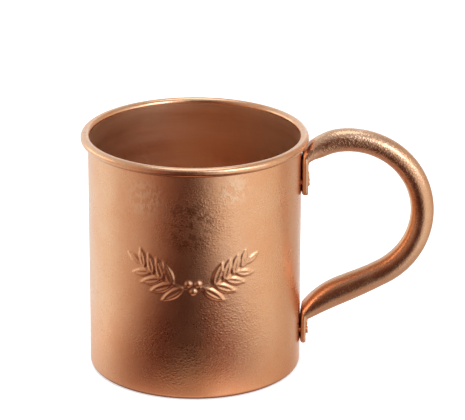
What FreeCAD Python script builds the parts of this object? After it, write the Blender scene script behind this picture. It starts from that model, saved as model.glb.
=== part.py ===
"""Copper mug: a drawn cup with a curled rim, and a tube handle whose flattened ends are riveted to the wall.

Millimetres. The origin is the centre of the flat base, +Z is up, and the handle stands out along +X.
"""
import FreeCAD
import Part
import math
import os

import Sketcher

PARTS_FOLDER = "parts"
AXIS_Y = FreeCAD.Vector(0, 1, 0)
DRIVING_SIZES = {
    # cup
    "body_radius": 40.0,
    "wall_thickness": 0.8,
    "base_corner_radius": 2.0,
    "bead_height": 90.1,
    "bead_radius": 1.75,
    "curl_end_angle": 118.0,
    # handle loop, in the XZ plane
    "grip_centre_x": 57.5,
    "grip_centre_z": 60.8,
    "grip_path_radius": 28.1,
    "strut_slope": 25.6,
    "tube_radius": 4.43,
    "strut_half_depth": 5.25,
    "strut_bow": 0.65,
    "tube_wall": 1.0,
    # flattened tabs
    "tab_gap": 0.2,
    "tab_half_width": 6.4,
    "tab_corner_radius": 2.2,
    "tab_nose_radius": 0.6,
    "upper_tab_thickness": 2.35,
    "lower_tab_thickness": 2.0,
    "upper_tab_bottom": 68.35,
    "lower_tab_bottom": 8.6,
    "upper_corner_height": 80.4,
    "lower_corner_height": 17.2,
    "upper_corner_radius": 0.9,
    "lower_corner_radius": 0.8,
    "upper_wall_peel": 0.93,
    "lower_wall_peel": 0.91,
    # rivets
    "rivet_half_spacing": 3.75,
    "upper_rivet_height": 73.4,
    "lower_rivet_height": 13.75,
    "shank_radius": 1.0,
    "hole_clearance": 0.05,
    "drill_overrun": 0.5,
    "head_radius": 1.45,
    "upper_head_height": 0.6,
    "lower_head_height": 0.9,
    "head_edge_radius": 0.4,
    "tail_radius": 1.5,
    "tail_height": 0.7,
    "tail_seat_x": 38.8,
}

doc = FreeCAD.newDocument("copper_mug")
sheet = doc.addObject("Spreadsheet::Sheet", "Sizes")
for row, (alias, value) in enumerate(DRIVING_SIZES.items(), start=1):
    sheet.set("A%d" % row, alias)
    sheet.set("B%d" % row, str(value))
    sheet.setAlias("B%d" % row, alias)
doc.recompute()


def size(alias):
    """A driving dimension, read back from the sheet."""
    return float(sheet.get(alias))


def origin_plane(body, role):
    """One of a body's own origin planes or axes."""
    return next(f for f in body.Origin.OriginFeatures if f.Role == role)


def flat_sketch(body, name, role):
    """An empty sketch on one of the body's origin planes."""
    sketch = body.newObject("Sketcher::SketchObject", name)
    sketch.AttachmentSupport = [(origin_plane(body, role), "")]
    sketch.MapMode = "FlatFace"
    return sketch


def join_ends(sketch, pairs):
    """Coincident constraints; each pair is (geometry, point, geometry, point)."""
    for first, first_point, second, second_point in pairs:
        sketch.addConstraint(Sketcher.Constraint("Coincident", first, first_point, second, second_point))


def dimension(sketch, name, expression, kind, *arguments):
    """A named dimensional constraint whose value follows the sheet."""
    index = sketch.addConstraint(Sketcher.Constraint(kind, *arguments))
    sketch.renameConstraint(index, name)
    sketch.setExpression("Constraints." + name, expression)


def segment(start, end):
    return Part.LineSegment(FreeCAD.Vector(*start, 0), FreeCAD.Vector(*end, 0))


def arc(centre, radius, start_degrees, end_degrees):
    circle = Part.Circle(FreeCAD.Vector(*centre, 0), FreeCAD.Vector(0, 0, 1), radius)
    return Part.ArcOfCircle(circle, math.radians(start_degrees), math.radians(end_degrees))


START, END, CENTRE = 1, 2, 3
ORIGIN = (-1, 1)


def cup_profile(body):
    """Half section of the cup: flat base, round base corner, thin wall and the rim curled outwards."""
    radius, wall = size("body_radius"), size("wall_thickness")
    corner, bead = size("base_corner_radius"), size("bead_radius")
    top, curl_end = size("bead_height"), -size("curl_end_angle")
    bead_centre = (radius - wall + bead, top)
    curl = FreeCAD.Vector(math.cos(math.radians(curl_end)), math.sin(math.radians(curl_end)), 0)
    lip_in = (bead_centre[0] + (bead - wall) * curl.x, top + (bead - wall) * curl.y)
    lip_out = (bead_centre[0] + bead * curl.x, top + bead * curl.y)
    corner_centre = (radius - corner, corner)

    sketch = flat_sketch(body, "cup_profile", "XZ_Plane")
    base_out, corner_out, wall_out, curl_in, lip, curl_out, wall_in, corner_in, base_in, axis = range(10)
    sketch.addGeometry([
        segment((0, 0), (radius - corner, 0)),
        arc(corner_centre, corner, -90, 0),
        segment((radius, corner), (radius, top)),
        arc(bead_centre, bead - wall, curl_end, 180),
        segment(lip_in, lip_out),
        arc(bead_centre, bead, curl_end, 180),
        segment((radius - wall, top), (radius - wall, corner)),
        arc(corner_centre, corner - wall, -90, 0),
        segment((radius - corner, wall), (0, wall)),
        segment((0, wall), (0, 0)),
    ], False)
    join_ends(sketch, [
        (base_out, START, *ORIGIN),
        (base_out, END, corner_out, START),
        (corner_out, END, wall_out, START),
        (wall_out, END, curl_in, END),
        (curl_in, START, lip, START),
        (lip, END, curl_out, START),
        (curl_out, END, wall_in, START),
        (wall_in, END, corner_in, END),
        (corner_in, START, base_in, START),
        (base_in, END, axis, START),
        (axis, END, base_out, START),
        (curl_in, CENTRE, curl_out, CENTRE),
    ])
    for line in (base_out, base_in):
        sketch.addConstraint(Sketcher.Constraint("Horizontal", line))
    for line in (wall_out, wall_in, axis):
        sketch.addConstraint(Sketcher.Constraint("Vertical", line))
    for kind, geometry, point in (
        ("Vertical", corner_out, START), ("Horizontal", corner_out, END),
        ("Vertical", corner_in, START), ("Horizontal", corner_in, END),
        ("Horizontal", curl_in, END), ("Horizontal", curl_out, END),
    ):
        sketch.addConstraint(Sketcher.Constraint(kind, geometry, CENTRE, geometry, point))
    sketch.addConstraint(Sketcher.Constraint("Vertical", corner_in, CENTRE, corner_out, CENTRE))
    sketch.addConstraint(Sketcher.Constraint("PointOnObject", curl_in, CENTRE, lip))
    dimension(sketch, "outer_radius", "Sizes.body_radius",
              "DistanceX", *ORIGIN, corner_out, END, radius)
    dimension(sketch, "base_corner", "Sizes.base_corner_radius", "Radius", corner_out, corner)
    dimension(sketch, "wall", "Sizes.wall_thickness",
              "DistanceX", curl_out, END, wall_out, END, wall)
    dimension(sketch, "base_thickness", "Sizes.wall_thickness",
              "DistanceY", axis, END, axis, START, wall)
    dimension(sketch, "bead", "Sizes.bead_radius", "Radius", curl_out, bead)
    dimension(sketch, "bead_level", "Sizes.bead_height",
              "DistanceY", *ORIGIN, curl_in, CENTRE, top)
    dimension(sketch, "curl_angle", "-Sizes.curl_end_angle * 1deg",
              "Angle", lip, math.radians(curl_end))
    return sketch


def revolve(body, sketch, axis):
    """A full turn of the sketch about its own vertical or horizontal axis."""
    turned = body.newObject("PartDesign::Revolution", sketch.Name + "_turned")
    turned.Profile = sketch
    turned.ReferenceAxis = (sketch, [axis])
    turned.Angle = 360
    sketch.Visibility = False
    return turned


def rivet_positions():
    """(name, side's sign, tab) of the four rivets: two side by side in each tab."""
    for tab in ("upper", "lower"):
        for side, sign in (("left", -1), ("right", 1)):
            yield "%s_rivet_%s" % (tab, side), sign, tab


def make_cup():
    """The drawn cup, with four holes for the rivets through the wall behind the handle."""
    body = doc.addObject("PartDesign::Body", "mug_body")
    body.Label = "mug_body"
    revolve(body, cup_profile(body), "V_Axis")
    doc.recompute()
    blank_volume = body.Shape.Volume

    holes = flat_sketch(body, "wall_rivet_holes", "YZ_Plane")
    for index, (name, sign, tab) in enumerate(rivet_positions()):
        across = sign * size("rivet_half_spacing")
        centre = FreeCAD.Vector(across, size(tab + "_rivet_height"), 0)
        radius = size("shank_radius") + size("hole_clearance")
        holes.addGeometry(Part.Circle(centre, FreeCAD.Vector(0, 0, 1), radius), False)
        dimension(holes, name + "_radius", "Sizes.shank_radius + Sizes.hole_clearance",
                  "Radius", index, radius)
        dimension(holes, name + "_height", "Sizes.%s_rivet_height" % tab,
                  "DistanceY", *ORIGIN, index, CENTRE, centre.y)
        # a distance along the sketch's X is kept positive by measuring it from left to right
        ends = (index, CENTRE, *ORIGIN) if sign < 0 else (*ORIGIN, index, CENTRE)
        dimension(holes, name + "_across", "Sizes.rivet_half_spacing",
                  "DistanceX", *ends, size("rivet_half_spacing"))
    doc.recompute()
    drilled = body.newObject("PartDesign::Pocket", "wall_drilled")
    drilled.Profile = holes
    drilled.Type = "Length"
    drilled.Reversed = True
    drilled.setExpression("Length", "Sizes.body_radius + Sizes.wall_thickness")
    holes.Visibility = False
    doc.recompute()
    if not body.Shape.Volume < blank_volume:
        raise RuntimeError("the rivet holes cut nothing from the wall")
    return body


def make_rivet(name, sign, tab):
    """A rivet along X: pan head on the tab, shank through tab and wall, and a domed tail inside the cup."""
    body = doc.addObject("PartDesign::Body", name)
    body.Label = name
    head_radius, head_height = size("head_radius"), size(tab + "_head_height")
    edge, shank = size("head_edge_radius"), size("shank_radius")
    tail_radius, tail_height = size("tail_radius"), size("tail_height")
    head_seat = "Sizes.body_radius + Sizes.tab_gap + Sizes.%s_tab_thickness" % tab
    grip = tab_front(tab) - size("tail_seat_x")
    dome = (tail_radius ** 2 + tail_height ** 2) / (2 * tail_height)
    dome_centre_x = -grip - tail_height + dome
    dome_start = math.degrees(math.atan2(tail_radius, -grip - dome_centre_x))

    sketch = flat_sketch(body, name + "_profile", "XZ_Plane")
    top, rounding, side, seat, stem, tail_seat, tail, axis = range(8)
    sketch.addGeometry([
        segment((head_height, 0), (head_height, head_radius - edge)),
        arc((head_height - edge, head_radius - edge), edge, 0, 90),
        segment((head_height - edge, head_radius), (0, head_radius)),
        segment((0, head_radius), (0, shank)),
        segment((0, shank), (-grip, shank)),
        segment((-grip, shank), (-grip, tail_radius)),
        arc((dome_centre_x, 0), dome, dome_start, 180),
        segment((-grip - tail_height, 0), (head_height, 0)),
    ], False)
    join_ends(sketch, [
        (top, END, rounding, START),
        (rounding, END, side, START),
        (side, END, seat, START),
        (seat, END, stem, START),
        (stem, END, tail_seat, START),
        (tail_seat, END, tail, START),
        (tail, END, axis, START),
        (axis, END, top, START),
    ])
    for line in (top, seat, tail_seat):
        sketch.addConstraint(Sketcher.Constraint("Vertical", line))
    for line in (side, stem, axis):
        sketch.addConstraint(Sketcher.Constraint("Horizontal", line))
    sketch.addConstraint(Sketcher.Constraint("Horizontal", rounding, CENTRE, rounding, START))
    sketch.addConstraint(Sketcher.Constraint("Vertical", rounding, CENTRE, rounding, END))
    sketch.addConstraint(Sketcher.Constraint("PointOnObject", axis, START, -1))
    sketch.addConstraint(Sketcher.Constraint("PointOnObject", tail, CENTRE, -1))
    sketch.addConstraint(Sketcher.Constraint("PointOnObject", seat, END, -2))
    dimension(sketch, "head_rise", "Sizes.%s_head_height" % tab,
              "DistanceX", *ORIGIN, top, START, head_height)
    dimension(sketch, "head_reach", "Sizes.head_radius", "DistanceY", *ORIGIN, side, END, head_radius)
    dimension(sketch, "head_edge", "Sizes.head_edge_radius", "Radius", rounding, edge)
    dimension(sketch, "stem_radius", "Sizes.shank_radius", "DistanceY", *ORIGIN, seat, END, shank)
    dimension(sketch, "stem_length", head_seat + " - Sizes.tail_seat_x",
              "DistanceX", stem, END, stem, START, grip)
    dimension(sketch, "tail_reach", "Sizes.tail_radius",
              "DistanceY", *ORIGIN, tail_seat, END, tail_radius)
    dimension(sketch, "tail_rise", "Sizes.tail_height",
              "DistanceX", axis, START, tail_seat, END, tail_height)
    revolve(body, sketch, "H_Axis")
    body.setExpression("Placement.Base.x", head_seat)
    body.setExpression("Placement.Base.y", "%d * Sizes.rivet_half_spacing" % sign)
    body.setExpression("Placement.Base.z", "Sizes.%s_rivet_height" % tab)
    return body


def ease(fraction):
    """0 to 1 with level ends."""
    clamped = min(max(fraction, 0.0), 1.0)
    return clamped * clamped * (3.0 - 2.0 * clamped)


def round_off(depth, radius):
    """How far a rounded corner still stands back from its side, at a depth in from the end."""
    left = max(radius - depth, 0.0)
    return radius - math.sqrt(radius * radius - left * left)


def polar(centre, distance, degrees):
    """A point of the XZ plane, by its distance and angle from a centre."""
    turn = math.radians(degrees)
    return FreeCAD.Vector(centre.x + distance * math.cos(turn), 0, centre.z + distance * math.sin(turn))


# Each station is one cross-section of the handle: where it crosses the inner outline of the loop, which
# faces the finger gap, where it crosses the outer outline, and its half width along Y. The order is up the
# upper tab, round the grip, down the slightly bowed strut and down the lower tab. The outer outline is on the
# wall's side of the upper tab; the inner one is on the wall's side of the lower tab.
TAB_DEPTHS = (0.0, 0.08, 0.25, 0.6, 1.2, 2.2)
TAB_MIDDLE_SHARES = (0.35, 0.7)
BEND_SHARES = (0.0, 0.14, 0.28, 0.42, 0.56, 0.7, 0.85)
UPPER_SHOULDER_END_DEGREES = 97.0
UPPER_SHOULDER_SHARES = (0.0, 0.12, 0.25, 0.4, 0.55, 0.7, 0.85)
INNER_OUTLINE_SETTLES = 0.5
OUTER_OUTLINE_POWER = 1.6
GRIP_DEGREES = (97, 88, 78, 66, 53, 40, 27, 14, 1, -12, -25, -38, -51)
SWELL_START_DEGREES = 15.0
SWELL_DONE_BY_STRUT = 0.5
SWELL_ENDS_AT_SHARE = 0.5
STRUT_SHARES = (0.0, 0.13, 0.27, 0.42, 0.56, 0.68, 0.78, 0.86, 0.92, 0.96)
LOWER_SHOULDER_SHARE = 0.5
LEAST_FLAT = 0.05
CAVITY_LEAST_HALF_DEPTH = 1.6


def tab_back():
    """How far out the back of both tabs is."""
    return size("body_radius") + size("tab_gap")


def tab_front(tab):
    """How far out the front of the upper or the lower tab is, where its rivets' heads sit."""
    return tab_back() + size(tab + "_tab_thickness")


def half_width(half_depth, tube):
    """The tube gets wider as it is pressed flat: from round to the tab's full width."""
    pressed = (tube - half_depth) / (tube - size("lower_tab_thickness") / 2)
    return tube + LEAST_FLAT + (size("tab_half_width") - tube - LEAST_FLAT) * pressed


def tab_sections(tab):
    """(front, back, half width) up a flat tab, from its rounded lower end to where the bend begins."""
    bottom = size(tab + "_tab_bottom")
    straight = size(tab + "_corner_height") - bottom - TAB_DEPTHS[-1]
    depths = list(TAB_DEPTHS) + [TAB_DEPTHS[-1] + share * straight for share in TAB_MIDDLE_SHARES]
    for depth in depths:
        thinner = round_off(depth, size("tab_nose_radius"))
        narrower = round_off(depth, size("tab_corner_radius"))
        yield (FreeCAD.Vector(tab_front(tab) - thinner, 0, bottom + depth),
               FreeCAD.Vector(tab_back() + thinner, 0, bottom + depth),
               size("tab_half_width") - narrower)


def bend_pivot(tab):
    """The centre of the small bend between a tab and the tube, in front of the tab."""
    return FreeCAD.Vector(tab_front(tab) + size(tab + "_corner_radius"), 0, size(tab + "_corner_height"))


def back_reach(tab, turned_degrees):
    """Distance from a bend's pivot to its back, which leaves the cup's wall as the bend turns."""
    back_radius = size(tab + "_corner_radius") + size(tab + "_tab_thickness")
    return back_radius / math.cos(math.radians(size(tab + "_wall_peel") * turned_degrees))


def bend_section(tab, turned_degrees, tube):
    """(front, back, half width) across a bend, where it has turned that far from the tab."""
    pivot, inner_radius = bend_pivot(tab), size(tab + "_corner_radius")
    reach = back_reach(tab, turned_degrees)
    return (polar(pivot, inner_radius, 180 - turned_degrees),
            polar(pivot, reach, 180 - turned_degrees),
            half_width((reach - inner_radius) / 2, tube))


def upper_end_stations(centre):
    """The upper tab, its bend, and the shoulder where the tube swells out to its round section."""
    tube, path_radius = size("tube_radius"), size("grip_path_radius")
    to_pivot = bend_pivot("upper") - centre
    bend_end = math.degrees(math.atan2(to_pivot.z, to_pivot.x))
    total_turn = 180 - bend_end
    yield from tab_sections("upper")
    for share in BEND_SHARES:
        yield bend_section("upper", share * total_turn, tube)
    inner_start = to_pivot.Length + size("upper_corner_radius")
    outer_start = to_pivot.Length + back_reach("upper", total_turn)
    for share in UPPER_SHOULDER_SHARES:
        angle = bend_end + share * (UPPER_SHOULDER_END_DEGREES - bend_end)
        inner = inner_start + (path_radius - tube - inner_start) * ease(share / INNER_OUTLINE_SETTLES)
        outer = outer_start + (path_radius + tube - outer_start) * (1 - (1 - share) ** OUTER_OUTLINE_POWER)
        yield polar(centre, inner, angle), polar(centre, outer, angle), half_width((outer - inner) / 2, tube)


def grip_stations(centre, strut_start):
    """The round part of the loop, which swells slowly towards the strut."""
    tube, path_radius = size("tube_radius"), size("grip_path_radius")
    swell = (size("strut_half_depth") - tube) * SWELL_DONE_BY_STRUT
    for angle in GRIP_DEGREES:
        half = tube + swell * ease((SWELL_START_DEGREES - angle) / (SWELL_START_DEGREES - strut_start))
        yield (polar(centre, path_radius - half, angle), polar(centre, path_radius + half, angle),
               half + LEAST_FLAT)


def strut_stations(centre, strut_start):
    """The strut: nearly straight, its lower edge running into the corner at the top of the lower tab."""
    tube, strut = size("tube_radius"), size("strut_half_depth")
    turn = 90 - size("strut_slope")
    upwards = polar(FreeCAD.Vector(), 1, 180 - turn)
    begin_half = tube + (strut - tube) * SWELL_DONE_BY_STRUT
    begin = polar(centre, size("grip_path_radius") + begin_half, strut_start)
    end_radius = size("lower_corner_radius")
    end = polar(bend_pivot("lower"), end_radius, 180 - turn)
    end_depth = back_reach("lower", turn) - end_radius
    for share in STRUT_SHARES + (1.0,):
        bow = size("strut_bow") * 4 * share * (1 - share)
        lower_edge = begin + (end - begin) * share - upwards * bow
        swelling = begin_half + (strut - begin_half) * ease(share / SWELL_ENDS_AT_SHARE)
        to_shoulder = min((1 - share) / (1 - LOWER_SHOULDER_SHARE), 1.0)
        depth = end_depth + (2 * swelling - end_depth) * (1 - (1 - to_shoulder) ** 2)
        yield lower_edge + upwards * depth, lower_edge, half_width(depth / 2, swelling)


def lower_end_stations():
    """The lower bend and tab, from the strut down; here the back is the inner outline."""
    turn = 90 - size("strut_slope")
    sections = list(tab_sections("lower"))
    sections += [bend_section("lower", share * turn, size("strut_half_depth")) for share in BEND_SHARES]
    for front, back, half_breadth in reversed(sections):
        yield back, front, half_breadth


def handle_stations():
    """All cross-sections of the handle, in order."""
    centre = FreeCAD.Vector(size("grip_centre_x"), 0, size("grip_centre_z"))
    strut_start = size("strut_slope") - 90
    yield from upper_end_stations(centre)
    yield from grip_stations(centre, strut_start)
    yield from strut_stations(centre, strut_start)
    yield from lower_end_stations()


def section_wire(inner, outer, half_breadth, inset):
    """A closed slot: flat on the inner and outer sides, round at both edges."""
    centre = (inner + outer) / 2
    across = outer - inner
    half_depth = across.Length / 2 - inset
    across.normalize()
    flat = half_breadth - inset - half_depth
    corners = [centre + across * (half_depth * up) + AXIS_Y * (flat * side)
               for up, side in ((1, -1), (1, 1), (-1, 1), (-1, -1))]
    far = centre + AXIS_Y * (half_breadth - inset)
    near = centre - AXIS_Y * (half_breadth - inset)
    return Part.Wire([
        Part.LineSegment(corners[0], corners[1]).toShape(),
        Part.Arc(corners[1], far, corners[2]).toShape(),
        Part.LineSegment(corners[2], corners[3]).toShape(),
        Part.Arc(corners[3], near, corners[0]).toShape(),
    ])


def make_handle():
    """The handle: one tube, hollow except where its ends are pressed flat, drilled for the rivets.

    Its section changes all along a bent line, which no pad, pipe or primitive makes, so it is a loft
    through sections worked out from the sheet.
    """
    stations = list(handle_stations())
    tube = Part.makeLoft([section_wire(*station, 0.0) for station in stations], True, False)
    hollow = [s for s in stations if (s[1] - s[0]).Length / 2 >= CAVITY_LEAST_HALF_DEPTH]
    cavity = Part.makeLoft([section_wire(*station, size("tube_wall")) for station in hollow], True, False)
    blank = doc.addObject("Part::Feature", "handle_tube")
    blank.Label = "handle_tube"
    blank.Shape = tube.cut(cavity)
    blank.Visibility = False

    drills = []
    for name, sign, tab in rivet_positions():
        drill = doc.addObject("Part::Cylinder", name + "_drill")
        drill.setExpression("Radius", "Sizes.shank_radius + Sizes.hole_clearance")
        drill.setExpression("Height", "Sizes.tab_gap + Sizes.%s_tab_thickness + Sizes.drill_overrun" % tab)
        drill.Placement = FreeCAD.Placement(FreeCAD.Vector(), FreeCAD.Rotation(AXIS_Y, 90))
        drill.setExpression("Placement.Base.x", "Sizes.body_radius")
        drill.setExpression("Placement.Base.y", "%d * Sizes.rivet_half_spacing" % sign)
        drill.setExpression("Placement.Base.z", "Sizes.%s_rivet_height" % tab)
        drill.Visibility = False
        drills.append(drill)
    all_drills = doc.addObject("Part::MultiFuse", "tab_drills")
    all_drills.Shapes = drills
    all_drills.Visibility = False
    handle = doc.addObject("Part::Cut", "handle")
    handle.Label = "handle"
    handle.Base = blank
    handle.Tool = all_drills
    return handle


def check(subparts):
    """Stops on a failed object or a sub-part without one valid solid."""
    for thing in doc.Objects:
        if {"Invalid", "Error"} & set(thing.State):
            raise RuntimeError("%s failed: %s" % (thing.Name, thing.State))
    for part in subparts:
        shape = part.Shape
        if shape.isNull() or not shape.isValid() or len(shape.Solids) != 1:
            raise RuntimeError("%s is not one valid solid" % part.Label)


def main():
    subparts = [make_cup(), make_handle()]
    subparts += [make_rivet(*place) for place in rivet_positions()]
    doc.recompute()
    check(subparts)
    os.makedirs(PARTS_FOLDER, exist_ok=True)
    for part in subparts:
        part.Shape.exportStep(os.path.join(PARTS_FOLDER, part.Label + ".step"))
        box = part.Shape.BoundBox
        print("%-18s volume %9.1f  x %6.2f..%6.2f  y %6.2f..%6.2f  z %6.2f..%6.2f" % (
            part.Label, part.Shape.Volume, box.XMin, box.XMax, box.YMin, box.YMax, box.ZMin, box.ZMax))


main()
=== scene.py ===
"""Copper mug: the looks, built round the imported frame.

In the CAD frame the base's centre is the origin, +Z is up, the handle stands out along +X and the front of
the cup faces -Y. The mug's sizes below are in millimetres, and are turned into metres where its meshes and
materials are made. The studio's sizes are in metres.
"""

import math

import bpy
import numpy as np
from mathutils import Matrix, Vector


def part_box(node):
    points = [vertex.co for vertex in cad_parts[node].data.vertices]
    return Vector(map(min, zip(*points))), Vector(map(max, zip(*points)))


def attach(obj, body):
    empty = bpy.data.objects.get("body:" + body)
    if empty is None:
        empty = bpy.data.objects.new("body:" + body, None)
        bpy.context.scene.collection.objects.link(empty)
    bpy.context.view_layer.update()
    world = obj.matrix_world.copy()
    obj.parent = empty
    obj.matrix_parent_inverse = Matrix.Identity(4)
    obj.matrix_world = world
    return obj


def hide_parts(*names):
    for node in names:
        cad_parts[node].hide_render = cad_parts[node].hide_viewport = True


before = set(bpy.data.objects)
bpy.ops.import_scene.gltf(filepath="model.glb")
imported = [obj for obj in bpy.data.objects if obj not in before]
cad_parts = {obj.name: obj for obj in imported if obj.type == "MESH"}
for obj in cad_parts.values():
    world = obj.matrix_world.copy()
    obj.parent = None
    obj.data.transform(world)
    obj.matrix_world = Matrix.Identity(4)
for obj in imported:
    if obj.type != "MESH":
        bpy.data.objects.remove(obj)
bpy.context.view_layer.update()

MM = 0.001


# ---------------------------------------------------------------- sizes taken from the frame

_, cup_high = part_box("mug_body")
handle_low, handle_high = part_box("handle")

BEAD_REACH = cup_high.x / MM
CUP_TOP = cup_high.z / MM
BEAD_RADIUS = 1.75
WALL = 0.8
BODY_RADIUS = BEAD_REACH - 2 * BEAD_RADIUS + WALL
BEAD_CENTRE = (BEAD_REACH - BEAD_RADIUS, CUP_TOP - BEAD_RADIUS)

TAB_HALF_WIDTH = handle_high.y / MM
TAB_WALL_SIDE = handle_low.x / MM


# ---------------------------------------------------------------- mesh helpers

def smooth_step(low, high, value):
    """0 below low, 1 above high, with level ends; works on numbers and arrays."""
    share = np.clip((np.asarray(value, float) - low) / (high - low), 0.0, 1.0)
    return share * share * (3 - 2 * share)


def grid_faces(rows, columns, flip=False):
    """Quads of a grid that closes on itself across its columns."""
    row, column = np.meshgrid(np.arange(rows - 1), np.arange(columns), indexing="ij")
    beside = (column + 1) % columns
    quads = np.stack([row * columns + column, row * columns + beside,
                      (row + 1) * columns + beside, (row + 1) * columns + column], -1).reshape(-1, 4)
    return (quads[:, ::-1] if flip else quads).tolist()


def fan(centre, ring, flip=False):
    """Triangles from a centre vertex to a closed ring of vertices."""
    pairs = zip(ring, ring[1:] + ring[:1])
    return [(centre, b, a) if flip else (centre, a, b) for a, b in pairs]


def make_piece(name, vertices, faces, materials, faces_of=None):
    """A smooth-shaded object that rides on the body; faces_of gives each face's material index."""
    mesh = bpy.data.meshes.new(name)
    mesh.from_pydata((np.asarray(vertices) * MM).tolist(), [], faces)
    mesh.validate()
    mesh.polygons.foreach_set("use_smooth", [True] * len(mesh.polygons))
    for material in materials:
        mesh.materials.append(material)
    if faces_of is not None:
        mesh.polygons.foreach_set("material_index", faces_of)
    mesh.update()
    piece = bpy.data.objects.new(name, mesh)
    bpy.context.scene.collection.objects.link(piece)
    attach(piece, "root")
    return piece


def arc_points(centre, radius, start, end, steps):
    """Points of an arc, both ends included; angles in radians."""
    angles = np.linspace(start, end, steps + 1)
    return np.stack([centre[0] + radius * np.cos(angles), centre[1] + radius * np.sin(angles)], -1)


# ---------------------------------------------------------------- the embossed garland

EMBLEM_HEIGHT = 50.0
EMBLEM_HALF_LENGTH = 25.0
EMBLEM_HALF_HEIGHT = 13.5
EMBOSS = 0.55
EMBOSS_EDGE = 0.32
# The right-hand stem: where it starts and how far it goes from there, along and up
STEM_START = (2.4, -5.2)
STEM_REACH = (18.5, 8.4)
STEM_RISE_POWER = 1.5
STEM_HALF_WIDTH = 0.3
STEM_EMBOSS_SHARE = 0.8
STEM_SAMPLES = 60
STEM_STEP = 0.01
# Leaves above and below a stem, as shares of its length; the degrees that they spread from it at its start,
# and how much less they spread at its end
UPPER_LEAVES = (0.27, 0.47, 0.67, 0.86)
LOWER_LEAVES = (0.06, 0.28, 0.50, 0.72)
UPPER_SPREAD = 50
LOWER_SPREAD = 44
SPREAD_LOSS = 8
LEAF_LENGTH = 9.4
LEAF_HALF_BREADTH = 1.55
# Below 1, a leaf is broadest nearer its root than its tip
LEAF_BELLY_POWER = 0.85
FIRST_LEAF_SIZE = 1.08
LEAF_SIZE_LOSS = 0.32
END_LEAF_SHARE = 0.97
END_LEAF_SIZE = 0.68
MIDRIB_DEPTH_SHARE = 0.6
MIDRIB_HALF_WIDTH = 0.32
# Shares of a leaf's length over which its midrib starts and ends
MIDRIB_STARTS = (0.05, 0.2)
MIDRIB_ENDS = (0.75, 0.95)
BERRIES = ((0.0, -6.6), (-1.75, -3.6), (1.75, -3.6))
BERRY_RADIUS = 1.05


def stem_point(share):
    """The right-hand stem's middle line, in millimetres along and above the emblem's centre."""
    return np.array([STEM_START[0] + STEM_REACH[0] * share,
                     STEM_START[1] + STEM_REACH[1] * share ** STEM_RISE_POWER])


def stem_direction(share):
    """The angle at which the stem runs there."""
    step = stem_point(share + STEM_STEP) - stem_point(share)
    return math.atan2(step[1], step[0])


def raised(distance):
    """Relief height from the signed distance to a shape's edge, negative inside."""
    return EMBOSS * (1 - smooth_step(-EMBOSS_EDGE, EMBOSS_EDGE, distance))


def leaf_relief(along, up, root, direction, size):
    """A pointed leaf that is raised, with a sunk midrib."""
    length, breadth = LEAF_LENGTH * size, LEAF_HALF_BREADTH * size
    cos, sin = math.cos(direction), math.sin(direction)
    forward = (along - root[0]) * cos + (up - root[1]) * sin
    side = -(along - root[0]) * sin + (up - root[1]) * cos
    share = np.clip(forward / length, 0.0, 1.0)
    half = breadth * np.sin(math.pi * share ** LEAF_BELLY_POWER)
    beyond = np.maximum(-forward, forward - length)
    distance = np.where(beyond > 0, np.hypot(beyond, side), np.abs(side) - half)
    midrib = MIDRIB_DEPTH_SHARE * np.exp(-(side / MIDRIB_HALF_WIDTH) ** 2)
    midrib = midrib * smooth_step(*MIDRIB_STARTS, share) * (1 - smooth_step(*MIDRIB_ENDS, share))
    return raised(distance) * (1 - midrib)


def emblem_relief(along, up):
    """Height of the embossed garland: two mirrored leafy sprigs that meet at three berries."""
    mirrored = np.abs(along)
    from_stem = np.full_like(along, np.inf)
    for share in np.linspace(0, 1, STEM_SAMPLES):
        point = stem_point(share)
        from_stem = np.minimum(from_stem, np.hypot(mirrored - point[0], up - point[1]))
    height = STEM_EMBOSS_SHARE * raised(from_stem - STEM_HALF_WIDTH)
    for side, spread, shares in ((1, UPPER_SPREAD, UPPER_LEAVES), (-1, LOWER_SPREAD, LOWER_LEAVES)):
        for share in shares:
            turn = stem_direction(share) + side * math.radians(spread - SPREAD_LOSS * share)
            size = FIRST_LEAF_SIZE - LEAF_SIZE_LOSS * share
            height = np.maximum(height, leaf_relief(mirrored, up, stem_point(share), turn, size))
    end_root = stem_point(END_LEAF_SHARE)
    height = np.maximum(height, leaf_relief(mirrored, up, end_root, stem_direction(1.0), END_LEAF_SIZE))
    for berry in BERRIES:
        distance = np.hypot(along - berry[0], up - berry[1]) - BERRY_RADIUS
        height = np.maximum(height, raised(distance))
    return height


# ---------------------------------------------------------------- the cup

# Zones of the cup's sheet, numbered as its material slots
OUTSIDE, INSIDE, RIM = 0, 1, 2
FINE_STEP = 0.46
COARSE_COLUMN = 1.15
COARSE_ROW = 1.8
EMBLEM_MARGIN = 2
BASE_CORNER = 2.0
# Rows across the base, closer together where its dish ends
BASE_ROWS = (5, 10, 15, 20, 24, 27, 29.5, 31, 32.5, 34, 36)
BASE_DISH = 0.3
DISH_FALLS = (30, 34)
# Where the rim's curl ends, in radians, and the corner taken off its cut edge
CURL_END = math.radians(-118)
CUT_CORNER = 0.2
CUT_CORNER_TURN = 0.06
# The relief stays this far from the base and the rim
RELIEF_MARGIN = 10
# A length too small to matter
HAIR = 0.01
# Slight waves in the wall: (depth, how many round the cup, height over which they shift by a radian, shift)
WAVES = ((0.035, 2, 17, 0.0), (0.02, 5, -9, 1.3))
WAVES_START_RADII = (30, 39)
WAVES_START_HEIGHTS = (0, 12)


def column_angles():
    """Angles round the cup from the front, closer together across the emblem."""
    half = (EMBLEM_HALF_LENGTH + EMBLEM_MARGIN) / BODY_RADIUS
    fine = np.arange(-half, half, FINE_STEP / BODY_RADIUS)
    rest = 2 * math.pi - 2 * half
    columns = round(rest * BODY_RADIUS / COARSE_COLUMN)
    coarse = half + rest * np.arange(columns) / columns
    return np.concatenate([fine, coarse])


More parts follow.
